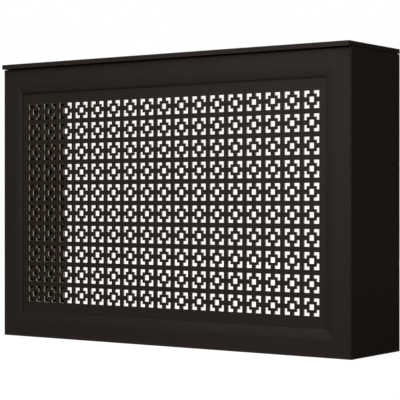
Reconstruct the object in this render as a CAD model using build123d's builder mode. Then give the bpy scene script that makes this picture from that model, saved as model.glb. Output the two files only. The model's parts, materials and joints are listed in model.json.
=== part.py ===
from build123d import *
import os

# Radiator cover cabinet, in millimetres.
# +X is to the right of someone who faces the cabinet, +Y runs to the wall and +Z is up.
# The origin is on the floor, in the middle of the lid's footprint.
# The carcass is two side panels, three rails and the lid. The screen is a mitred frame
# round a fretwork panel, and it pulls straight off four magnetic catches.

# Cabinet
cabinet_width = 900.0  # over the side panels, and over the screen
body_height = 600.0  # floor to the top of the side panels
body_depth = 200.0  # front of the screen to the wall
side_thickness = 10.0

# Lid
lid_thickness = 10.0
lid_overhang = 6.0  # in front of the screen
lid_edge_radius = 1.0  # along the front and the sides, and at the two front corners
lid_gap = 1.0  # shadow gap over the side panels: the lid lies on the cleats and the rails

# Rails of the carcass
rail_height = 45.0
rail_thickness = 16.0
bottom_rail_lift = 5.0  # the front bottom rail stands clear of the floor
rail_housing = 4.0  # how deep a rail's end is let into the side panel

# Screen
screen_top_gap = 2.0  # under the lid, so that the screen slides out
frame_width = 55.0
frame_thickness = 18.0
frame_edge_radius = 4.0  # outer front edge
frame_flat = 31.0  # flat band inside the rounded edge
frame_fall = 2.0  # how far the sloping band inside the flat one falls to the opening
groove_depth = 10.0
panel_thickness = 3.0
panel_setback = 4.5  # front of the frame to the front of the panel
panel_edge_gap = 1.0  # between the panel's edge and the bottom of the groove

# Fretwork: a motif is one square opening with a cut-out at each corner
motif_pitch = 45.0
motif_reach = 17.3  # middle of the motif to its outer edge
corner_start = 4.8  # middle line of the motif to the near end of a corner cut-out
centre_square = 10.8

# Biscuits in the mitres
biscuit_length = 47.0
biscuit_width = 15.0
biscuit_thickness = 4.0
biscuit_inset = 25.0  # outer edge of the frame to the biscuit's middle

# Lid cleats: battens along the top of each side panel, with screws up into the lid
cleat_size = 16.0
cleat_screw_spacing = 90.0
cleat_screw_radius = 1.75
cleat_screw_head_radius = 3.5
cleat_screw_grip = 7.0  # how deep the screw runs into the lid

# Magnetic catches, let into the front rails, and their strike plates, let into the frame
catch_inset = 60.0  # inner face of a side panel to the middle of the catch
magnet_length = 18.0
magnet_height = 5.0
magnet_depth = 9.0
pole_thickness = 1.0  # steel plates above and below the magnet
pole_reach = 0.5  # how far they stand in front of the magnet
catch_wall = 2.5  # plastic housing round them
strike_length = 24.0
strike_height = 10.0
strike_thickness = 1.2

# Wall fixing holes, through the rear rail
wall_hole_radius = 2.5
wall_hole_head_radius = 5.0
wall_hole_inset = 60.0  # inner face of a side panel to the hole

# Clearances
slip_fit = 0.1  # on each side of a biscuit, a catch, a strike plate and the panel in its groove
screw_fit = 0.05  # round a screw

# Places worked out from the sizes above
wall_y = (body_depth + lid_overhang) / 2
front_y = wall_y - body_depth
carcass_front_y = front_y + frame_thickness
carcass_depth = wall_y - carcass_front_y
carcass_middle_y = (wall_y + carcass_front_y) / 2
inner_x = cabinet_width / 2 - side_thickness
lid_z = body_height + lid_gap
screen_height = lid_z - screen_top_gap
screen_middle_z = screen_height / 2
opening_width = cabinet_width - 2 * frame_width
opening_height = screen_height - 2 * frame_width
motif_columns = int(opening_width / motif_pitch)
motif_rows = int(opening_height / motif_pitch)
groove_width = panel_thickness + 2 * slip_fit
panel_back_y = front_y + panel_setback + panel_thickness
frame_middle_y = front_y + frame_thickness / 2
top_rail_z = lid_z - rail_height / 2
bottom_rail_z = bottom_rail_lift + rail_height / 2
front_rail_y = carcass_front_y + rail_thickness / 2
rear_rail_y = wall_y - rail_thickness / 2
catch_x = inner_x - catch_inset
catch_length = magnet_length + 2 * catch_wall
catch_height = magnet_height + 2 * pole_thickness + 2 * catch_wall
catch_depth = magnet_depth + pole_reach + catch_wall
wall_hole_x = inner_x - wall_hole_inset

LEFT = -1
RIGHT = 1
SIDES = {"left": LEFT, "right": RIGHT}
DOWN = Vector(0, 0, -1)
TO_ROOM = Vector(0, -1, 0)
INTO_FACE = (Align.CENTER, Align.CENTER, Align.MAX)

# Middle of each rail's section
rail_places = {
    "front_top_rail": (front_rail_y, top_rail_z),
    "front_bottom_rail": (front_rail_y, bottom_rail_z),
    "rear_top_rail": (rear_rail_y, top_rail_z),
}

# Faces of the catches, on the front of the rails, where the strike plates meet them
catch_places = {
    f"{level}_{word}": Plane(
        origin=(side * catch_x, carcass_front_y, z), x_dir=(1, 0, 0), z_dir=TO_ROOM
    )
    for level, z in (("top", top_rail_z), ("bottom", bottom_rail_z))
    for word, side in SIDES.items()
}


def cleat_screw_heads(side):
    """Planes of the screw heads under one cleat, looking down."""
    x = side * (inner_x - cleat_size / 2)
    return [
        Plane(origin=(x, carcass_middle_y + shift, lid_z - cleat_size), z_dir=DOWN)
        for shift in (-cleat_screw_spacing / 2, cleat_screw_spacing / 2)
    ]


def lid_board():
    with BuildPart() as lid:
        with BuildSketch(Plane.XY.offset(lid_z)):
            Rectangle(cabinet_width, body_depth + lid_overhang)
        extrude(amount=lid_thickness)
        rear_edges = lid.faces().sort_by(Axis.Y)[-1].edges()
        fillet(lid.edges() - rear_edges, radius=lid_edge_radius)
        for side in SIDES.values():
            with Locations(*[head.offset(-cleat_size) for head in cleat_screw_heads(side)]):
                Hole(radius=cleat_screw_radius + screw_fit, depth=cleat_screw_grip)
    return lid.part


def side_panel(side):
    with BuildPart() as panel:
        with BuildSketch(Plane.YZ.offset(side * inner_x)):
            with Locations((carcass_middle_y, body_height / 2)):
                Rectangle(carcass_depth, body_height)
        extrude(amount=side * side_thickness)
        with BuildSketch(Plane.YZ.offset(side * inner_x)):
            with Locations(*rail_places.values()):
                Rectangle(rail_thickness, rail_height)
        extrude(amount=side * rail_housing, mode=Mode.SUBTRACT)
    return panel.part


def rail(name):
    rail_y, rail_z = rail_places[name]
    with BuildPart() as board:
        with BuildSketch(Plane.YZ):
            with Locations((rail_y, rail_z)):
                Rectangle(rail_thickness, rail_height)
        extrude(amount=inner_x + rail_housing, both=True)
        if name == "rear_top_rail":
            heads = [
                Plane(origin=(side * wall_hole_x, rail_y - rail_thickness / 2, rail_z), z_dir=TO_ROOM)
                for side in SIDES.values()
            ]
            with Locations(*heads):
                CounterSinkHole(radius=wall_hole_radius, counter_sink_radius=wall_hole_head_radius)
        for place in catch_places.values():
            if place.origin.Z == rail_z and rail_y == front_rail_y:
                with BuildSketch(place):
                    Rectangle(catch_length + 2 * slip_fit, catch_height + 2 * slip_fit)
                extrude(amount=-catch_depth, mode=Mode.SUBTRACT)
    return board.part


def lid_cleat(side):
    length = carcass_depth - 2 * rail_thickness
    with BuildPart() as cleat:
        with BuildSketch(Plane.XY.offset(lid_z)):
            with Locations((side * (inner_x - cleat_size / 2), carcass_middle_y)):
                Rectangle(cleat_size, length)
        extrude(amount=-cleat_size)
        with Locations(*cleat_screw_heads(side)):
            CounterSinkHole(
                radius=cleat_screw_radius + screw_fit, counter_sink_radius=cleat_screw_head_radius + screw_fit
            )
    return cleat.part


def cleat_screws():
    head_height = cleat_screw_head_radius - cleat_screw_radius
    with BuildPart() as screws:
        for side in SIDES.values():
            with Locations(*cleat_screw_heads(side)):
                Cone(cleat_screw_radius, cleat_screw_head_radius, head_height, align=INTO_FACE)
                Cylinder(cleat_screw_radius, cleat_size + cleat_screw_grip, align=INTO_FACE)
    return screws.part


def catch_housing(place):
    with BuildPart() as housing:
        with BuildSketch(place):
            Rectangle(catch_length, catch_height)
        extrude(amount=-catch_depth)
        with BuildSketch(place):
            Rectangle(magnet_length, magnet_height + 2 * pole_thickness)
        extrude(amount=-(magnet_depth + pole_reach), mode=Mode.SUBTRACT)
    return housing.part


def catch_magnet(place):
    with BuildPart() as magnet:
        with BuildSketch(place.offset(-pole_reach)):
            Rectangle(magnet_length, magnet_height)
        extrude(amount=-magnet_depth)
    return magnet.part


def catch_pole_plates(place):
    with BuildPart() as plates:
        with BuildSketch(place):
            with GridLocations(0, magnet_height + pole_thickness, 1, 2):
                Rectangle(magnet_length, pole_thickness)
        extrude(amount=-(magnet_depth + pole_reach))
    return plates.part


def strike_plate(place):
    with BuildPart() as plate:
        with BuildSketch(place):
            Rectangle(strike_length, strike_height)
        extrude(amount=strike_thickness)
    return plate.part


# The frame's members. x runs along the member, y into the cabinet and z out of the screen's middle.
member_planes = {
    "frame_top_rail": Plane(origin=(0, front_y, screen_height), x_dir=(1, 0, 0), z_dir=(0, 0, 1)),
    "frame_bottom_rail": Plane(origin=(0, front_y, 0), x_dir=(-1, 0, 0), z_dir=(0, 0, -1)),
    "frame_left_stile": Plane(
        origin=(-cabinet_width / 2, front_y, screen_middle_z), x_dir=(0, 0, 1), z_dir=(-1, 0, 0)
    ),
    "frame_right_stile": Plane(
        origin=(cabinet_width / 2, front_y, screen_middle_z), x_dir=(0, 0, -1), z_dir=(1, 0, 0)
    ),
}


def biscuit_plane(side, up):
    """In the middle of a mitre, with x along the mitre, at the biscuit's back face."""
    x = side * (cabinet_width / 2 - biscuit_inset)
    z = screen_middle_z + up * (screen_height / 2 - biscuit_inset)
    y = frame_middle_y + biscuit_thickness / 2
    return Plane(origin=(x, y, z), x_dir=(side, 0, up), z_dir=TO_ROOM)


biscuit_planes = {
    f"mitre_biscuit_{level}_{word}": biscuit_plane(side, up)
    for level, up in (("top", 1), ("bottom", -1))
    for word, side in SIDES.items()
}


def biscuit(place, play=0.0):
    """A beech biscuit, or with some play the slot for one."""
    half_length = biscuit_length / 2 + play
    half_width = biscuit_width / 2 + play
    with BuildPart() as body:
        with BuildSketch(place.offset(-play)):
            with BuildLine():
                ThreePointArc((-half_length, 0), (0, half_width), (half_length, 0))
                ThreePointArc((-half_length, 0), (0, -half_width), (half_length, 0))
            make_face()
        extrude(amount=biscuit_thickness + 2 * play)
    return body.part


def frame_member(name):
    plane = member_planes[name]
    length = screen_height if name.endswith("stile") else cabinet_width
    groove_front = panel_setback - slip_fit
    groove_back = groove_front + groove_width
    slots = [
        biscuit(place, play=slip_fit)
        for place in biscuit_planes.values()
        if place.origin.X * plane.z_dir.X + (place.origin.Z - screen_middle_z) * plane.z_dir.Z > 0
    ]
    with BuildPart() as member:
        # The section is drawn at the member's end, with x into the cabinet and y outwards.
        far_end = plane.origin - plane.x_dir * (length / 2)
        with BuildSketch(Plane(origin=far_end, x_dir=plane.y_dir, z_dir=plane.x_dir)):
            with BuildLine():
                edge = TangentArc((frame_edge_radius, 0), (0, -frame_edge_radius), tangent=(-1, 0))
                Polyline(
                    edge @ 1,
                    (0, -frame_edge_radius - frame_flat),
                    (frame_fall, -frame_width),
                    (groove_front, -frame_width),
                    (groove_front, groove_depth - frame_width),
                    (groove_back, groove_depth - frame_width),
                    (groove_back, -frame_width),
                    (frame_thickness, -frame_width),
                    (frame_thickness, 0),
                    edge @ 0,
                )
            make_face()
        extrude(amount=length)
        for end in (-1, 1):
            corner = plane.origin + plane.x_dir * (end * length / 2)
            mitre = Plane(origin=corner, z_dir=plane.x_dir * end - plane.z_dir)
            split(bisect_by=mitre, keep=Keep.BOTTOM)
        add(slots, mode=Mode.SUBTRACT)
        for place in catch_places.values():
            if (place.origin.Z - screen_middle_z) * plane.z_dir.Z > 0:
                with BuildSketch(place):
                    Rectangle(strike_length + 2 * slip_fit, strike_height + 2 * slip_fit)
                extrude(amount=strike_thickness, mode=Mode.SUBTRACT)
    return member.part


def fretwork_panel():
    let_in = groove_depth - panel_edge_gap
    back = Plane(origin=(0, panel_back_y, screen_middle_z), x_dir=(1, 0, 0), z_dir=TO_ROOM)
    cut_out = [(corner_start, motif_reach), (motif_reach, motif_reach), (motif_reach, corner_start)]
    with BuildPart() as panel:
        with BuildSketch(back):
            Rectangle(opening_width + 2 * let_in, opening_height + 2 * let_in)
            with GridLocations(motif_pitch, motif_pitch, motif_columns, motif_rows):
                Rectangle(centre_square, centre_square, mode=Mode.SUBTRACT)
                for quarter_turn in (0, 90, 180, 270):
                    Polygon(*cut_out, rotation=quarter_turn, align=None, mode=Mode.SUBTRACT)
        extrude(amount=panel_thickness)
    return panel.part


parts = {
    "lid_board": lid_board(),
    "cleat_screws": cleat_screws(),
    "fretwork_panel": fretwork_panel(),
}
for word, side in SIDES.items():
    parts[f"{word}_side_panel"] = side_panel(side)
    parts[f"{word}_lid_cleat"] = lid_cleat(side)
for name in rail_places:
    parts[name] = rail(name)
for name in member_planes:
    parts[name] = frame_member(name)
for name, place in biscuit_planes.items():
    parts[name] = biscuit(place)
for corner, place in catch_places.items():
    parts[f"catch_housing_{corner}"] = catch_housing(place)
    parts[f"catch_magnet_{corner}"] = catch_magnet(place)
    parts[f"catch_pole_plates_{corner}"] = catch_pole_plates(place)
    parts[f"strike_plate_{corner}"] = strike_plate(place)

os.makedirs("parts", exist_ok=True)
for name, part in parts.items():
    part.label = name
    export_step(part, f"parts/{name}.step")
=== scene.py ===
"""Looks of a radiator cover cabinet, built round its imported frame.

Every length is in metres. +X runs to the right of someone who faces the cabinet, +Y to the wall
and +Z up. The origin is on the floor, in the middle of the lid's footprint.
"""

import json
import logging
import math
from collections.abc import Iterable
from dataclasses import dataclass, field
from enum import Enum
from typing import Any

import bmesh
import bpy
from mathutils import Matrix, Vector

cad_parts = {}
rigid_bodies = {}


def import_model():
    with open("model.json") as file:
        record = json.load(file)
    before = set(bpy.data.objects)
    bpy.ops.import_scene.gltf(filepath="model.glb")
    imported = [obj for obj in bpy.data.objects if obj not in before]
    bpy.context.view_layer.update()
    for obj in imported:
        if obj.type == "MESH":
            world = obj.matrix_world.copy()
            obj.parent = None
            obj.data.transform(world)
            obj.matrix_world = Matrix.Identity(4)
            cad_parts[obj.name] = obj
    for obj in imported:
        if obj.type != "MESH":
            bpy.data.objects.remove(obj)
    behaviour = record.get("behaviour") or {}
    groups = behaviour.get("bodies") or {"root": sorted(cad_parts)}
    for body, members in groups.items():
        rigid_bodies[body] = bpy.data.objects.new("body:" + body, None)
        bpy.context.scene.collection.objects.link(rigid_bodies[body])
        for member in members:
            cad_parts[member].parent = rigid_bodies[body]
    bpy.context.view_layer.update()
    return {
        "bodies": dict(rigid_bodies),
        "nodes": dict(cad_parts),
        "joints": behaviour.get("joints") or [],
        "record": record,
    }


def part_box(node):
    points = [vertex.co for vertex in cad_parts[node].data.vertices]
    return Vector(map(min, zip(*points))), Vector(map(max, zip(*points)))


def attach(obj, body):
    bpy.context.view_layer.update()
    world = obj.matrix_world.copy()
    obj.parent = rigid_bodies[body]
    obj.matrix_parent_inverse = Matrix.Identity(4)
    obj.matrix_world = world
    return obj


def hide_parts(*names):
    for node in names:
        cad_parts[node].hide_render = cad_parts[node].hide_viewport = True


MILLIMETRE = 0.001
MERGE_DISTANCE = 0.01 * MILLIMETRE
SHARP_ANGLE = math.radians(30)
FLAT_ANGLE = math.radians(1)
FACING_COSINE = 0.5
HALF_UNIT = 0.5
WHITE = (1.0, 1.0, 1.0, 1.0)
SRGB_KNEE = 0.04045
SRGB_LOW_SLOPE = 12.92
SRGB_OFFSET = 0.055
SRGB_POWER = 2.4

log = logging.getLogger("radiator_cover")

Frame = dict[str, Any]
Colour = tuple[float, float, float, float]
Point2 = tuple[float, float]


def srgb(red: int, green: int, blue: int) -> Colour:
    """A linear colour from its screen values.

    Args:
        red: Red, from 0 to 255.
        green: Green, from 0 to 255.
        blue: Blue, from 0 to 255.

    Returns:
        The linear red, green, blue and an alpha of 1.
    """
    linear = []
    for value in (red, green, blue):
        share = value / 255
        if share <= SRGB_KNEE:
            linear.append(share / SRGB_LOW_SLOPE)
        else:
            linear.append(((share + SRGB_OFFSET) / (1 + SRGB_OFFSET)) ** SRGB_POWER)
    return (*linear, 1.0)


class Grain(Enum):
    """The axis along which a board's grain runs, as its index."""

    ALONG_X = 0
    ALONG_Z = 2


class Slot(Enum):
    """The record's material slots."""

    DARK_FOIL = "dark_foil"
    CARCASS_BOARD = "carcass_board"
    BEECH = "beech"
    ZINC_STEEL = "zinc_steel"
    CATCH_PLASTIC = "catch_plastic"
    FERRITE = "ferrite"


# ---------------------------------------------------------------------------
# Finishes
# ---------------------------------------------------------------------------


@dataclass(frozen=True)
class Figure:
    """The fine figure of a surface, such as its pores or fibres.

    There are per_metre features to a metre across the grain, each stretch times longer than wide.
    They rise by height, of which the share relief shows.
    """

    per_metre: float
    stretch: float
    detail: float
    height: float
    relief: float


class ShaderGraph:
    """A material's node tree round one Principled shader."""

    ramp_start: float = 0.3
    ramp_end: float = 0.7

    def __init__(self, name: str) -> None:
        """Starts a material.

        Args:
            name: The material's name.
        """
        self.material = bpy.data.materials.new(name)
        self.material.use_nodes = True
        self.nodes = self.material.node_tree.nodes
        self.links = self.material.node_tree.links
        self.shader = self.nodes["Principled BSDF"]

    def add(self, kind: str, **inputs: object) -> bpy.types.Node:
        """Adds a node.

        Args:
            kind: The node's type, such as ShaderNodeTexNoise.
            **inputs: Values for its sockets, with their names in lower case and _ for a space.

        Returns:
            The new node.
        """
        node = self.nodes.new(kind)
        for name, value in inputs.items():
            node.inputs[name.replace("_", " ").title()].default_value = value
        return node

    def link(self, source: bpy.types.NodeSocket, target: bpy.types.NodeSocket) -> None:
        """Joins two sockets."""
        self.links.new(source, target)

    def noise(self, figure: Figure, grain: Grain = Grain.ALONG_X) -> bpy.types.Node:
        """Noise that is drawn out along the grain.

        Args:
            figure: How fine and how long its features are.
            grain: The axis of the grain.

        Returns:
            The noise node.
        """
        place = self.add("ShaderNodeTexCoord")
        mapping = self.add("ShaderNodeMapping")
        scale = [figure.per_metre] * 3
        scale[grain.value] /= figure.stretch
        mapping.inputs["Scale"].default_value = scale
        noise = self.add("ShaderNodeTexNoise", scale=1.0, detail=figure.detail)
        self.link(place.outputs["Object"], mapping.inputs["Vector"])
        self.link(mapping.outputs["Vector"], noise.inputs["Vector"])
        return noise

    def blend_colours(self, noise: bpy.types.Node, dark: Colour, light: Colour) -> None:
        """Colours the shader between two tones, as the noise says.

        Args:
            noise: The node whose factor chooses.
            dark: The colour at the noise's low values.
            light: The colour at its high values.
        """
        ramp = self.add("ShaderNodeValToRGB")
        low, high = ramp.color_ramp.elements
        low.position, high.position = self.ramp_start, self.ramp_end
        low.color, high.color = dark, light
        self.link(noise.outputs["Fac"], ramp.inputs["Fac"])
        self.link(ramp.outputs["Color"], self.shader.inputs["Base Color"])

    def vary_roughness(self, noise: bpy.types.Node, at_low: float, at_high: float) -> None:
        """Lets the roughness follow the noise.

        Args:
            noise: The node whose factor chooses.
            at_low: The roughness at the noise's low values.
            at_high: The roughness at its high values.
        """
        spread = self.add("ShaderNodeMapRange", to_min=at_low, to_max=at_high)
        self.link(noise.outputs["Fac"], spread.inputs["Value"])
        self.link(spread.outputs["Result"], self.shader.inputs["Roughness"])

    def emboss(self, noise: bpy.types.Node, figure: Figure) -> None:
        """Raises the surface as the noise says.

        Args:
            noise: The node whose factor is the height.
            figure: How high it rises, and how much of that shows.
        """
        bump = self.add("ShaderNodeBump", strength=figure.relief, distance=figure.height)
        self.link(noise.outputs["Fac"], bump.inputs["Height"])
        self.link(bump.outputs["Normal"], self.shader.inputs["Normal"])

    def set_gloss(self, gloss: float) -> None:
        """Sets how strongly the surface mirrors, from 0 up."""
        self.shader.inputs["Specular IOR Level"].default_value = gloss


@dataclass(frozen=True)
class WoodFoil:
    """Dark satin foil with a fine open grain, wrapped over board."""

    name: str
    grain: Grain
    pore: Colour = srgb(34, 28, 24)
    ground: Colour = srgb(42, 35, 32)
    pore_roughness: float = 0.42
    ground_roughness: float = 0.32
    gloss: float = 0.065
    figure: Figure = Figure(
        per_metre=900.0, stretch=22.0, detail=3.0, height=0.05 * MILLIMETRE, relief=0.25
    )

    def material(self) -> bpy.types.Material:
        """Makes the finish.

        Returns:
            Its material.
        """
        graph = ShaderGraph(self.name)
        pores = graph.noise(self.figure, self.grain)
        graph.blend_colours(pores, self.pore, self.ground)
        graph.vary_roughness(pores, self.pore_roughness, self.ground_roughness)
        graph.emboss(pores, self.figure)
        graph.set_gloss(self.gloss)
        return graph.material


@dataclass(frozen=True)
class FibreBoard:
    """Raw board: pressed fibres, faintly speckled, with hardly any gloss."""

    name: str
    dark: Colour
    light: Colour
    roughness: float = 0.85
    gloss: float = 0.15
    figure: Figure = Figure(
        per_metre=1600.0, stretch=3.0, detail=4.0, height=0.08 * MILLIMETRE, relief=0.5
    )

    def material(self) -> bpy.types.Material:
        """Makes the finish.

        Returns:
            Its material.
        """
        graph = ShaderGraph(self.name)
        fibres = graph.noise(self.figure)
        graph.blend_colours(fibres, self.dark, self.light)
        graph.emboss(fibres, self.figure)
        graph.shader.inputs["Roughness"].default_value = self.roughness
        graph.set_gloss(self.gloss)
        return graph.material


@dataclass(frozen=True)
class PlainBeech:
    """Pressed beech with short dark flecks."""

    name: str = "pressed_beech"
    fleck: Colour = srgb(176, 132, 88)
    ground: Colour = srgb(206, 166, 120)
    roughness: float = 0.7
    figure: Figure = Figure(
        per_metre=900.0, stretch=8.0, detail=3.0, height=0.05 * MILLIMETRE, relief=0.4
    )

    def material(self) -> bpy.types.Material:
        """Makes the finish.

        Returns:
            Its material.
        """
        graph = ShaderGraph(self.name)
        flecks = graph.noise(self.figure)
        graph.blend_colours(flecks, self.fleck, self.ground)
        graph.emboss(flecks, self.figure)
        graph.shader.inputs["Roughness"].default_value = self.roughness
        return graph.material


@dataclass(frozen=True)
class ZincPlate:
    """Bright zinc on pressed steel, with faint cloudy spangle."""

    name: str = "zinc_plate"
    dull: Colour = srgb(178, 181, 184)
    bright: Colour = srgb(205, 207, 208)
    dull_roughness: float = 0.28
    bright_roughness: float = 0.42
    figure: Figure = Figure(
        per_metre=260.0, stretch=1.5, detail=5.0, height=0.02 * MILLIMETRE, relief=0.2
    )

    def material(self) -> bpy.types.Material:
        """Makes the finish.

        Returns:
            Its material.
        """
        graph = ShaderGraph(self.name)
        clouds = graph.noise(self.figure)
        graph.blend_colours(clouds, self.dull, self.bright)
        graph.vary_roughness(clouds, self.dull_roughness, self.bright_roughness)
        graph.emboss(clouds, self.figure)
        graph.shader.inputs["Metallic"].default_value = 1.0
        return graph.material


@dataclass(frozen=True)
class DullSolid:
    """Moulded plastic, sintered ferrite, card, or the darker matt colour that paints shade inside
    the cabinet: one colour with a fine even grain.
    """

    name: str
    dark: Colour
    light: Colour
    roughness: float
    gloss: float
    roughness_spread: float = 0.05
    figure: Figure = Figure(
        per_metre=2500.0, stretch=1.0, detail=2.0, height=0.02 * MILLIMETRE, relief=0.3
    )

    def material(self) -> bpy.types.Material:
        """Makes the finish.

        Returns:
            Its material.
        """
        graph = ShaderGraph(self.name)
        grains = graph.noise(self.figure)
        graph.blend_colours(grains, self.dark, self.light)
        graph.vary_roughness(
            grains, self.roughness - self.roughness_spread, self.roughness + self.roughness_spread
        )
        graph.emboss(grains, self.figure)
        graph.set_gloss(self.gloss)
        return graph.material


@dataclass
class Finishes:
    """Every material on the cabinet, each made once."""

    foil: dict[Grain, bpy.types.Material] = field(init=False)
    panel_foil: bpy.types.Material = field(init=False)
    carcass: bpy.types.Material = field(init=False)
    inside: bpy.types.Material = field(init=False)
    cut_edge: bpy.types.Material = field(init=False)
    board_back: bpy.types.Material = field(init=False)
    beech: bpy.types.Material = field(init=False)
    zinc: bpy.types.Material = field(init=False)
    plastic: bpy.types.Material = field(init=False)
    ferrite: bpy.types.Material = field(init=False)

    def __post_init__(self) -> None:
        """Makes the materials."""
        self.foil = {
            grain: WoodFoil(f"wood_foil_{grain.name.lower()}", grain).material() for grain in Grain
        }
        self.panel_foil = WoodFoil(
            "panel_foil", Grain.ALONG_X, pore=srgb(34, 28, 23), ground=srgb(42, 35, 30)
        ).material()
        self.carcass = WoodFoil(
            "carcass_foil", Grain.ALONG_X, pore=srgb(40, 33, 29), ground=srgb(50, 42, 37)
        ).material()
        # Painted shade: the side panels' inner faces get a darker, matt colour that stands for the
        # shade inside the cabinet.
        self.inside = DullSolid(
            "inside_paint", srgb(30, 24, 19), srgb(36, 29, 23), roughness=0.8, gloss=0.0
        ).material()
        self.cut_edge = FibreBoard(
            "cut_board_edge", srgb(184, 173, 157), srgb(207, 196, 179)
        ).material()
        self.board_back = FibreBoard("board_back", srgb(88, 66, 48), srgb(112, 86, 62)).material()
        self.beech = PlainBeech().material()
        self.zinc = ZincPlate().material()
        self.plastic = DullSolid(
            "catch_plastic", srgb(44, 36, 31), srgb(56, 47, 41), roughness=0.45, gloss=0.5
        ).material()
        self.ferrite = DullSolid(
            "ferrite", srgb(46, 46, 49), srgb(66, 66, 70), roughness=0.6, gloss=0.4
        ).material()


# ---------------------------------------------------------------------------
# Shapes
# ---------------------------------------------------------------------------


def arc_points(
    centre: Point2, radius: float, start: float, end: float, steps: int
) -> list[Point2]:
    """Points on an arc.

    Args:
        centre: The arc's centre.
        radius: Its radius.
        start: The angle of the first point, in degrees.
        end: The angle of the last point, in degrees.
        steps: How many chords the arc has.

    Returns:
        The points from start to end, with both ends.
    """
    angles = [math.radians(start + (end - start) * step / steps) for step in range(steps + 1)]
    return [(centre[0] + radius * math.cos(a), centre[1] + radius * math.sin(a)) for a in angles]


def board_shape(low: Vector, high: Vector) -> bmesh.types.BMesh:
    """A plain board between two corners.

    Args:
        low: The corner with the least X, Y and Z.
        high: The corner with the greatest.

    Returns:
        The shape.
    """
    shape = bmesh.new()
    size = high - low
    place = Matrix.Translation((low + high) / 2) @ Matrix.Diagonal((*size, 1.0))
    bmesh.ops.create_cube(shape, size=1.0, matrix=place)
    return shape


def round_edges(
    shape: bmesh.types.BMesh, edges: Iterable[bmesh.types.BMEdge], radius: float, segments: int
) -> None:
    """Rounds edges of a shape.

    Args:
        shape: The shape to change.
        edges: The edges to round.
        radius: How far the round reaches on each side.
        segments: How many facets it has.
    """
    bmesh.ops.bevel(
        shape,
        geom=list(edges),
        offset=radius,
        offset_type="OFFSET",
        segments=segments,
        profile=0.5,
        affect="EDGES",
        clamp_overlap=True,
        material=-1,
    )


def sharp_corners(shape: bmesh.types.BMesh) -> list[bmesh.types.BMEdge]:
    """The outward corners of a shape, apart from its hollows.

    Args:
        shape: The shape.

    Returns:
        The edges that stand out and turn by more than the sharp angle.
    """
    return [
        edge
        for edge in shape.edges
        if len(edge.link_faces) == 2 and edge.is_convex and edge.calc_face_angle() > SHARP_ANGLE
    ]


def vertices_of(parts: Iterable[object]) -> list[bmesh.types.BMVert]:
    """The vertices among the parts that an operator returns."""
    return [part for part in parts if isinstance(part, bmesh.types.BMVert)]


def eased_copy(node: bpy.types.Object, radius: float, segments: int = 2) -> bmesh.types.BMesh:
    """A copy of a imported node, with its facets merged and its corners eased.

    Args:
        node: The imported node.
        radius: How far its corners are rounded.
        segments: How many facets each round has.

    Returns:
        The shape.
    """
    shape = bmesh.new()
    shape.from_mesh(node.data)
    bmesh.ops.remove_doubles(shape, verts=shape.verts, dist=MERGE_DISTANCE)
    bmesh.ops.dissolve_limit(shape, angle_limit=FLAT_ANGLE, verts=shape.verts, edges=shape.edges)
    round_edges(shape, sharp_corners(shape), radius, segments)
    return shape


@dataclass
class Workshop:
    """Makes pieces of shapes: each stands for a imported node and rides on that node's body."""

    frame: Frame
    finishes: Finishes
    body_of: dict[str, str] = field(init=False)

    def __post_init__(self) -> None:
        """Looks up the body of each node."""
        bodies = self.frame["record"]["behaviour"]["bodies"]
        self.body_of = {node: body for body, nodes in bodies.items() for node in nodes}

    def node(self, name: str) -> bpy.types.Object:
        """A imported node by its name."""
        return self.frame["nodes"][name]

    def finish_piece(
        self,
        shape: bmesh.types.BMesh,
        node: str,
        slot: Slot,
        *materials: bpy.types.Material,
    ) -> None:
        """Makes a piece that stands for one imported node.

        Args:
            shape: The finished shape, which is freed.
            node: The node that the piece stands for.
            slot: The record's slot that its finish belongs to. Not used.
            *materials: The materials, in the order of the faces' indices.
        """
        mesh = bpy.data.meshes.new(f"{node}_surface")
        shape.to_mesh(mesh)
        shape.free()
        for material in materials:
            mesh.materials.append(material)
        mesh.shade_smooth()
        mesh.set_sharp_from_angle(angle=SHARP_ANGLE)
        piece = bpy.data.objects.new(f"{node}_surface", mesh)
        bpy.context.scene.collection.objects.link(piece)
        weighted = piece.modifiers.new("even_normals", "WEIGHTED_NORMAL")
        weighted.keep_sharp = True
        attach(piece, self.body_of[node])
        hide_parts(node)
        log.info("%s: %d faces, on %s", piece.name, len(mesh.polygons), self.body_of[node])


# ---------------------------------------------------------------------------
# Carcass
# ---------------------------------------------------------------------------


@dataclass
class Lid:
    """The thin lid: soft along the top and at the front corners, crisp underneath."""

    shop: Workshop
    corner_radius: float = 1.0 * MILLIMETRE
    top_radius: float = 0.9 * MILLIMETRE
    bottom_easing: float = 0.3 * MILLIMETRE
    segments: int = 3

    def build(self) -> None:
        """Makes the lid."""
        low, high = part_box("lid_board")
        shape = board_shape(low, high)
        corners = [
            edge
            for edge in shape.edges
            if all(abs(v.co.y - low.y) < MERGE_DISTANCE for v in edge.verts)
            and abs(edge.verts[0].co.z - edge.verts[1].co.z) > MERGE_DISTANCE
        ]
        round_edges(shape, corners, self.corner_radius, self.segments)
        for level, radius in ((high.z, self.top_radius), (low.z, self.bottom_easing)):
            rim = [
                edge
                for edge in shape.edges
                if all(abs(v.co.z - level) < MERGE_DISTANCE for v in edge.verts)
                and any(abs(v.co.y - high.y) > MERGE_DISTANCE for v in edge.verts)
            ]
            round_edges(shape, rim, radius, self.segments)
        foil = self.shop.finishes.foil[Grain.ALONG_X]
        self.shop.finish_piece(shape, "lid_board", Slot.DARK_FOIL, foil)


class PanelSide(Enum):
    """The faces of a side panel, in the order of its materials."""

    OUTSIDE = 0
    INSIDE = 1


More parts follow.
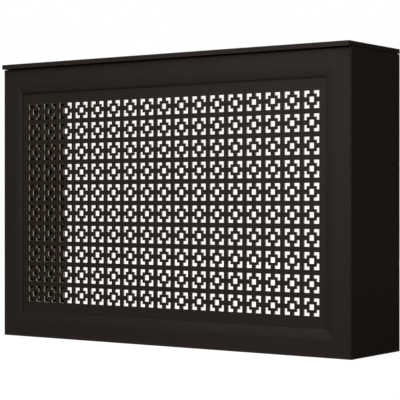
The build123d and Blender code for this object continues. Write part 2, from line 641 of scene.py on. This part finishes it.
@dataclass
class Carcass:
    """Side panels whose inner faces are matt and darker as painted shade, rails and lid cleats,
    all with eased corners.
    """

    shop: Workshop
    panel_easing: float = 0.6 * MILLIMETRE
    rail_easing: float = 0.8 * MILLIMETRE
    panels: tuple[str, ...] = ("left_side_panel", "right_side_panel")
    rails: tuple[str, ...] = ("front_top_rail", "front_bottom_rail", "rear_top_rail")
    cleats: tuple[str, ...] = ("left_lid_cleat", "right_lid_cleat")

    def build_panel(self, name: str) -> None:
        """Makes one side panel, foiled all round but for its inner face, which gets a darker matt
        colour as painted shade.

        Args:
            name: The panel's node.
        """
        shape = eased_copy(self.shop.node(name), self.panel_easing)
        low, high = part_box(name)
        outwards = math.copysign(1.0, low.x + high.x)
        shape.normal_update()
        for face in shape.faces:
            # Faces turned into the cabinet take the darker colour of painted shade.
            if face.normal.x * outwards < -FACING_COSINE:
                face.material_index = PanelSide.INSIDE.value
        finishes = self.shop.finishes
        foil = finishes.foil[Grain.ALONG_Z]
        self.shop.finish_piece(shape, name, Slot.DARK_FOIL, foil, finishes.inside)

    def build(self) -> None:
        """Makes the boards and battens."""
        for name in self.panels:
            self.build_panel(name)
        for name in self.rails + self.cleats:
            shape = eased_copy(self.shop.node(name), self.rail_easing)
            self.shop.finish_piece(shape, name, Slot.CARCASS_BOARD, self.shop.finishes.carcass)


# ---------------------------------------------------------------------------
# Screen
# ---------------------------------------------------------------------------


class Member(Enum):
    """The screen's members by node, with the degrees about Y that turn the top rail into each."""

    frame_top_rail = 0
    frame_right_stile = 90
    frame_bottom_rail = 180
    frame_left_stile = 270


@dataclass
class ScreenFrame:
    """The mitred frame: rounded outside, flat, then a slope that steepens towards the opening.

    The slope falls by crease_slope from the start, and the rest of its fall grows with the power
    bend_power of the way to the opening.
    """

    shop: Workshop
    width: float = 55 * MILLIMETRE
    edge_radius: float = 4 * MILLIMETRE
    flat: float = 31 * MILLIMETRE
    fall: float = 2 * MILLIMETRE
    crease_slope: float = 0.065
    bend_power: int = 3
    lip_radius: float = 0.8 * MILLIMETRE
    groove_depth: float = 10 * MILLIMETRE
    play: float = 0.1 * MILLIMETRE
    mitre_easing: float = 0.03 * MILLIMETRE
    edge_steps: int = 8
    slope_steps: int = 12
    lip_steps: int = 4
    overrun: float = 10 * MILLIMETRE
    top_gap: float = 1 * MILLIMETRE
    thickness: float = field(init=False)
    centre: Vector = field(init=False)
    half_size: Vector = field(init=False)
    groove_front: float = field(init=False)
    groove_back: float = field(init=False)

    def __post_init__(self) -> None:
        """Takes the frame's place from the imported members, and its top edge from the lid."""
        left_low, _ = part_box(Member.frame_left_stile.name)
        _, right_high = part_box(Member.frame_right_stile.name)
        lid_low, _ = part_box("lid_board")
        right_high.z = lid_low.z - self.top_gap
        self.centre = (left_low + right_high) / 2
        self.half_size = (right_high - left_low) / 2
        self.thickness = right_high.y - left_low.y
        panel_low, panel_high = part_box("fretwork_panel")
        self.groove_front = panel_low.y - left_low.y - self.play
        self.groove_back = panel_high.y - left_low.y + self.play

    def section(self) -> list[Point2]:
        """The member's section.

        Returns:
            Its outline, as depths behind the front and heights over the outer edge.
        """
        radius, lip = self.edge_radius, self.lip_radius
        crease, brink = -radius - self.flat, lip - self.width
        run = crease - brink
        bend = self.fall - self.crease_slope * run
        shares = [step / self.slope_steps for step in range(self.slope_steps + 1)]
        slope = [
            (self.crease_slope * run * share + bend * share**self.bend_power, crease - run * share)
            for share in shares
        ]
        brink_angle = math.degrees(math.atan(self.crease_slope + self.bend_power * bend / run))
        lip_start, lip_end = 180 + brink_angle, 270
        inner, groove_bottom = -self.width, self.groove_depth - self.width
        return [
            *arc_points((radius, -radius), radius, 90, 180, self.edge_steps),
            *slope,
            *arc_points((self.fall + lip, brink), lip, lip_start, lip_end, self.lip_steps)[1:],
            (self.groove_front, inner),
            (self.groove_front, groove_bottom),
            (self.groove_back, groove_bottom),
            (self.groove_back, inner),
            (self.thickness, inner),
            (self.thickness, 0.0),
        ]

    def straight_length(self, half_length: float) -> bmesh.types.BMesh:
        """A length of the moulding along X, mitred at both ends, as the top rail lies.

        Args:
            half_length: Half its length at the outer edge.

        Returns:
            The shape, with its outer edge at Z 0 and its front at Y 0.
        """
        shape = bmesh.new()
        start = -half_length - self.overrun
        outline = [shape.verts.new((start, depth, height)) for depth, height in self.section()]
        run = bmesh.ops.extrude_face_region(shape, geom=[shape.faces.new(outline)])["geom"]
        bmesh.ops.translate(shape, verts=vertices_of(run), vec=(-2 * start, 0, 0))
        for end in (-1, 1):
            cut = bmesh.ops.bisect_plane(
                shape,
                geom=[*shape.verts, *shape.edges, *shape.faces],
                plane_co=(end * half_length, 0, 0),
                plane_no=(end, 0, -1),
                clear_outer=True,
            )["geom_cut"]
            rim = [part for part in cut if isinstance(part, bmesh.types.BMEdge)]
            bmesh.ops.edgeloop_fill(shape, edges=rim)
            round_edges(shape, rim, self.mitre_easing, segments=1)
        bmesh.ops.recalc_face_normals(shape, faces=shape.faces)
        return shape

    def back_faces(self, shape: bmesh.types.BMesh) -> list[bmesh.types.BMFace]:
        """The faces of a member that lie in the plane of the frame's back.

        Args:
            shape: The member, in its place.

        Returns:
            The faces.
        """
        back = self.centre.y + self.thickness / 2
        return [
            face
            for face in shape.faces
            if abs(face.calc_center_median().y - back) < MERGE_DISTANCE
        ]

    def sink_pocket(self, shape: bmesh.types.BMesh, plate: str) -> None:
        """Cuts the pocket of a strike plate into the back of a member.

        Args:
            shape: The member, in its place.
            plate: The strike plate's node.
        """
        low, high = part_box(plate)
        play = Vector((self.play, 0, self.play))
        low, high = low - play, high + play
        for axis in (0, 2):
            for place in (low, high):
                faces = self.back_faces(shape)
                edges = {edge for face in faces for edge in face.edges}
                verts = {vert for face in faces for vert in face.verts}
                normal = Vector((0, 0, 0))
                normal[axis] = 1
                bmesh.ops.bisect_plane(
                    shape, geom=[*verts, *edges, *faces], plane_co=place, plane_no=normal
                )
        floor = []
        for face in self.back_faces(shape):
            place = face.calc_center_median()
            if low.x < place.x < high.x and low.z < place.z < high.z:
                floor.append(face)
        sunk = bmesh.ops.extrude_face_region(shape, geom=floor)["geom"]
        depth = self.centre.y + self.thickness / 2 - low.y
        bmesh.ops.translate(shape, verts=vertices_of(sunk), vec=(0, -depth, 0))
        bmesh.ops.delete(shape, geom=floor, context="FACES_ONLY")

    def build(self) -> None:
        """Makes the four members."""
        plates = [name for name in self.shop.body_of if name.startswith("strike_plate")]
        for member in Member:
            upright = member.value % 180 != 0
            reach = self.half_size.x if upright else self.half_size.z
            half_length = self.half_size.z if upright else self.half_size.x
            shape = self.straight_length(half_length)
            front = Vector((self.centre.x, self.centre.y - self.thickness / 2, self.centre.z))
            place = (
                Matrix.Translation(front)
                @ Matrix.Rotation(math.radians(member.value), 4, "Y")
                @ Matrix.Translation((0, 0, reach))
            )
            bmesh.ops.transform(shape, matrix=place, verts=shape.verts)
            low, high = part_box(member.name)
            for plate in plates:
                plate_low, plate_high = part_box(plate)
                if low.x < plate_low.x < high.x and low.z < plate_low.z < high.z:
                    self.sink_pocket(shape, plate)
            grain = Grain.ALONG_Z if upright else Grain.ALONG_X
            foil = self.shop.finishes.foil[grain]
            self.shop.finish_piece(shape, member.name, Slot.DARK_FOIL, foil)


class FretworkSide(Enum):
    """The faces of the fretwork, in the order of its materials."""

    FRONT = 0
    WALL = 1
    BACK = 2


@dataclass
class Fretwork:
    """The thin panel, cut through with motifs of a square opening and four angled ones round it.

    Measured from a motif's middle lines, the angled openings run from start to reach, and each of
    their arms is arm wide.
    """

    shop: Workshop
    columns: int = 17
    rows: int = 10
    pitch: float = 45 * MILLIMETRE
    reach: float = 17.3 * MILLIMETRE
    arm: float = 6.1 * MILLIMETRE
    start: float = 4.8 * MILLIMETRE
    half_square: float = 5.4 * MILLIMETRE

    def cut_lines(self, count: int, low: float, high: float) -> list[float]:
        """The lines along one axis on which the openings' sides lie.

        Args:
            count: How many motifs there are along the axis.
            low: The panel's low edge.
            high: Its high edge.

        Returns:
            The lines in order, with both edges of the panel.
        """
        steps = (self.start, self.half_square, self.reach - self.arm, self.reach)
        offsets = [*(-step for step in reversed(steps)), *steps]
        middle = (low + high) / 2
        middles = [middle + (index - (count - 1) / 2) * self.pitch for index in range(count)]
        return [low, *(place + offset for place in middles for offset in offsets), high]

    def is_open(self, x: float, z: float) -> bool:
        """Whether a point lies in an opening.

        Args:
            x: How far right of the panel's middle it is.
            z: How far above the panel's middle it is.

        Returns:
            True in a square opening or an angled one.
        """
        from_middle = []
        for place, count in ((x, self.columns), (z, self.rows)):
            index = min(max(round(place / self.pitch + (count - 1) / 2), 0), count - 1)
            from_middle.append(abs(place - (index - (count - 1) / 2) * self.pitch))
        near, far = sorted(from_middle)
        in_square = far < self.half_square
        in_angle = self.reach - self.arm < far < self.reach and near > self.start
        return in_square or in_angle

    def build(self) -> None:
        """Makes the panel: front, back and the walls of its openings."""
        low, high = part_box("fretwork_panel")
        lines_x = self.cut_lines(self.columns, low.x, high.x)
        lines_z = self.cut_lines(self.rows, low.z, high.z)
        shape = bmesh.new()
        upright = Matrix.Rotation(math.radians(90), 4, "X")
        bmesh.ops.create_grid(
            shape,
            x_segments=len(lines_x) - 1,
            y_segments=len(lines_z) - 1,
            size=HALF_UNIT,
            matrix=upright,
        )
        for vert in shape.verts:
            column = round((vert.co.x + HALF_UNIT) * (len(lines_x) - 1))
            row = round((vert.co.z + HALF_UNIT) * (len(lines_z) - 1))
            vert.co = (lines_x[column], low.y, lines_z[row])
        middle = (low + high) / 2
        openings = []
        for face in shape.faces:
            place = face.calc_center_median() - middle
            if self.is_open(place.x, place.z):
                openings.append(face)
        bmesh.ops.delete(shape, geom=openings, context="FACES")
        front = list(shape.faces)
        back = bmesh.ops.extrude_face_region(shape, geom=front, use_keep_orig=True)["geom"]
        bmesh.ops.translate(shape, verts=vertices_of(back), vec=(0, high.y - low.y, 0))
        bmesh.ops.recalc_face_normals(shape, faces=shape.faces)
        for face in shape.faces:
            if abs(face.normal.y) < FACING_COSINE:
                face.material_index = FretworkSide.WALL.value
            elif face.normal.y > 0:
                face.material_index = FretworkSide.BACK.value
        finishes = self.shop.finishes
        self.shop.finish_piece(
            shape,
            "fretwork_panel",
            Slot.DARK_FOIL,
            finishes.panel_foil,
            finishes.cut_edge,
            finishes.board_back,
        )


@dataclass
class SmallParts:
    """Biscuits, catches, strike plates and screws, with eased corners."""

    shop: Workshop
    easing: float = 0.3 * MILLIMETRE

    def finish_of(self, node: str) -> tuple[Slot, bpy.types.Material] | None:
        """Looks up how a small part is finished.

        Args:
            node: The part's node.

        Returns:
            Its slot and its material, or None for any other node.
        """
        finishes = self.shop.finishes
        families = {
            "mitre_biscuit": (Slot.BEECH, finishes.beech),
            "catch_housing": (Slot.CATCH_PLASTIC, finishes.plastic),
            "catch_magnet": (Slot.FERRITE, finishes.ferrite),
            "catch_pole_plates": (Slot.ZINC_STEEL, finishes.zinc),
            "strike_plate": (Slot.ZINC_STEEL, finishes.zinc),
            "cleat_screws": (Slot.ZINC_STEEL, finishes.zinc),
        }
        matches = (finish for family, finish in families.items() if node.startswith(family))
        return next(matches, None)

    def build(self) -> None:
        """Makes every small part."""
        for name in sorted(self.shop.body_of):
            finish = self.finish_of(name)
            if finish is not None:
                shape = eased_copy(self.shop.node(name), self.easing)
                self.shop.finish_piece(shape, name, *finish)


# ---------------------------------------------------------------------------
# Studio and camera
# ---------------------------------------------------------------------------


def aimed_turn(place: Vector, target: Vector) -> Matrix:
    """The turn that points an object's -Z from its place at a target."""
    return (target - place).to_track_quat("-Z", "Y").to_matrix().to_4x4()


def flat_sheet(
    name: str, size: tuple[float, float], place: Matrix, material: bpy.types.Material
) -> bpy.types.Object:
    """Puts a flat sheet in the scene, with its place in its mesh.

    Args:
        name: The sheet's name.
        size: Its width and depth as it lies on the floor.
        place: Where it goes from there.
        material: Its material.

    Returns:
        The sheet.
    """
    shape = bmesh.new()
    bmesh.ops.create_grid(shape, x_segments=1, y_segments=1, size=HALF_UNIT)
    bmesh.ops.scale(shape, vec=(*size, 1.0), verts=shape.verts)
    bmesh.ops.transform(shape, matrix=place, verts=shape.verts)
    mesh = bpy.data.meshes.new(name)
    shape.to_mesh(mesh)
    shape.free()
    mesh.materials.append(material)
    sheet = bpy.data.objects.new(name, mesh)
    bpy.context.scene.collection.objects.link(sheet)
    return sheet


@dataclass(frozen=True)
class SoftLamp:
    """A soft box that points at the cabinet, with its bearing from the front to the right."""

    name: str
    bearing: float
    rise: float
    size: tuple[float, float]
    power: float
    distance: float = 4.5

    def hang(self, target: Vector) -> None:
        """Puts the lamp in the scene.

        Args:
            target: The point that it is aimed at.
        """
        data = bpy.data.lights.new(self.name, "AREA")
        data.shape = "RECTANGLE"
        data.size, data.size_y = self.size
        data.energy = self.power
        lamp = bpy.data.objects.new(self.name, data)
        turn, lift = math.radians(self.bearing), math.radians(self.rise)
        level = Vector((math.sin(turn), -math.cos(turn), 0.0)) * math.cos(lift)
        place = target + (level + Vector((0.0, 0.0, math.sin(lift)))) * self.distance
        lamp.matrix_world = Matrix.Translation(place) @ aimed_turn(place, target)
        bpy.context.scene.collection.objects.link(lamp)


@dataclass(frozen=True)
class Flag:
    """A card that keeps the white room out of the foil's gloss, unseen and without a shadow."""

    name: str
    bearing: float
    distance: float
    size: tuple[float, float]
    lies_flat: bool = False
    tone: int = 16
    mottle: int = 4
    roughness: float = 0.9
    gloss: float = 0.0
    floor_clearance: float = 2 * MILLIMETRE

    def card_stock(self) -> bpy.types.Material:
        """The card's material, as grey as its tone."""
        dark, light = srgb(*[self.tone] * 3), srgb(*[self.tone + self.mottle] * 3)
        return DullSolid(self.name, dark, light, self.roughness, self.gloss).material()

    def place(self) -> None:
        """Stands the card on the floor, facing the cabinet, or lays it down."""
        turn = math.radians(self.bearing)
        spot = Vector((math.sin(turn), -math.cos(turn), 0.0)) * self.distance
        facing = Matrix.Rotation(turn, 4, "Z")
        if self.lies_flat:
            spot.z = self.floor_clearance
        else:
            spot.z = self.size[1] / 2
            facing = facing @ Matrix.Rotation(math.radians(90), 4, "X")
        place = Matrix.Translation(spot) @ facing
        card = flat_sheet(self.name, self.size, place, self.card_stock())
        card.visible_camera = False
        card.visible_shadow = False


@dataclass
class Studio:
    """A white room with a pale floor, even light, a few soft boxes and cards."""

    target: Vector = field(default_factory=lambda: Vector((0.0, 0.0, 0.3)))
    ambient: float = 0.25
    floor_size: float = 30.0
    floor_colour: Colour = srgb(235, 235, 235)
    floor_roughness: float = 0.9
    floor_shade_share: float = 0.12
    floor_glow: float = 1.08
    lamps: tuple[SoftLamp, ...] = (
        SoftLamp("key_lamp_low", bearing=-25.0, rise=3.0, size=(1.0, 0.9), power=17.0),
        SoftLamp("key_lamp", bearing=-30.0, rise=26.0, size=(2.0, 1.6), power=28.0),
        SoftLamp("top_lamp", bearing=-15.0, rise=60.0, size=(2.4, 2.4), power=212.0),
        SoftLamp("edge_lamp", bearing=75.0, rise=3.6, size=(1.6, 0.6), power=59.0),
        SoftLamp("back_lamp", bearing=205.0, rise=3.6, size=(2.4, 0.6), power=60.0),
    )
    flags: tuple[Flag, ...] = (
        Flag("flag_right", bearing=130.0, distance=2.2, size=(3.6, 3.0)),
        Flag("flag_left", bearing=-62.0, distance=2.2, size=(2.5, 1.4)),
        Flag("flag_beside", bearing=90.0, distance=1.648, size=(3.6, 2.4), lies_flat=True),
        Flag(
            "flag_before", bearing=0.0, distance=3.1, size=(5.0, 6.0), lies_flat=True, tone=122
        ),
    )

    @staticmethod
    def seen_directly(nodes: bpy.types.Nodes, links: bpy.types.NodeLinks) -> bpy.types.NodeSocket:
        """Tells the rays that see a surface directly from those that carry its light.

        Args:
            nodes: The nodes of the tree that asks.
            links: The links of that tree.

        Returns:
            A value of 1 for rays from the camera, gloss and glass, and of 0 for the rest.
        """
        path = nodes.new("ShaderNodeLightPath")
        total = path.outputs["Is Camera Ray"]
        for name in ("Is Glossy Ray", "Is Transmission Ray"):
            either = nodes.new("ShaderNodeMath")
            either.operation = "MAXIMUM"
            links.new(total, either.inputs[0])
            links.new(path.outputs[name], either.inputs[1])
            total = either.outputs["Value"]
        return total

    def light_world(self) -> None:
        """White behind the cabinet, and a lower even light on it."""
        world = bpy.data.worlds.new("white_room")
        bpy.context.scene.world = world
        world.use_nodes = True
        nodes, links = world.node_tree.nodes, world.node_tree.links
        background = nodes["Background"]
        background.inputs["Color"].default_value = WHITE
        strength = nodes.new("ShaderNodeMapRange")
        strength.inputs["To Min"].default_value = self.ambient
        strength.inputs["To Max"].default_value = 1.0
        links.new(self.seen_directly(nodes, links), strength.inputs["Value"])
        links.new(strength.outputs["Result"], background.inputs["Strength"])

    def white_floor(self) -> bpy.types.Material:
        """Makes the floor's finish, white to look at, with a faint shadow of the cabinet.

        Returns:
            Its material.
        """
        material = bpy.data.materials.new("white_floor")
        material.use_nodes = True
        nodes, links = material.node_tree.nodes, material.node_tree.links
        shader = nodes["Principled BSDF"]
        shader.inputs["Base Color"].default_value = self.floor_colour
        shader.inputs["Roughness"].default_value = self.floor_roughness
        shader.inputs["Specular IOR Level"].default_value = 0.0
        glow = nodes.new("ShaderNodeEmission")
        glow.inputs["Strength"].default_value = self.floor_glow
        share = nodes.new("ShaderNodeMapRange")
        share.inputs["To Max"].default_value = 1.0 - self.floor_shade_share
        mix = nodes.new("ShaderNodeMixShader")
        links.new(self.seen_directly(nodes, links), share.inputs["Value"])
        links.new(share.outputs["Result"], mix.inputs["Fac"])
        links.new(shader.outputs["BSDF"], mix.inputs[1])
        links.new(glow.outputs["Emission"], mix.inputs[2])
        links.new(mix.outputs["Shader"], nodes["Material Output"].inputs["Surface"])
        return material

    def lay_floor(self) -> None:
        """Lays the floor under the cabinet."""
        size = (self.floor_size, self.floor_size)
        floor = flat_sheet("floor", size, Matrix.Identity(4), self.white_floor())

    def build(self) -> None:
        """Makes the room, hangs the lamps and stands the flags."""
        self.light_world()
        self.lay_floor()
        for lamp in self.lamps:
            lamp.hang(self.target)
        for flag in self.flags:
            flag.place()
        bpy.context.scene.view_settings.view_transform = "Standard"


@dataclass(frozen=True)
class PhotoCamera:
    """The camera at the photograph's place: level, low and to the right of the cabinet."""

    place: tuple[float, float, float] = (1.8223, -2.5121, 0.3065)
    turn: float = 35.092
    tilt: float = -0.012
    image_size: float = 400.0
    focal_pixels: float = 1448.47
    axis_pixel: float = 211.6
    sensor: float = 36.0

    def build(self) -> None:
        """Makes the camera and looks through it."""
        data = bpy.data.cameras.new("photo_camera")
        data.sensor_width = self.sensor
        data.lens = self.focal_pixels / self.image_size * self.sensor
        data.shift_x = (self.image_size / 2 - self.axis_pixel) / self.image_size
        camera = bpy.data.objects.new("photo_camera", data)
        camera.location = self.place
        camera.rotation_euler = (math.radians(90 + self.tilt), 0.0, math.radians(self.turn))
        bpy.context.scene.collection.objects.link(camera)
        bpy.context.scene.camera = camera


def main() -> None:
    """Builds the cabinet's surfaces, the studio and the camera."""
    logging.basicConfig(level=logging.INFO, format="%(name)s: %(message)s")
    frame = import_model()
    PhotoCamera().build()
    shop = Workshop(frame, Finishes())
    Lid(shop).build()
    Carcass(shop).build()
    ScreenFrame(shop).build()
    Fretwork(shop).build()
    SmallParts(shop).build()
    Studio().build()


if __name__ == "__main__":
    main()
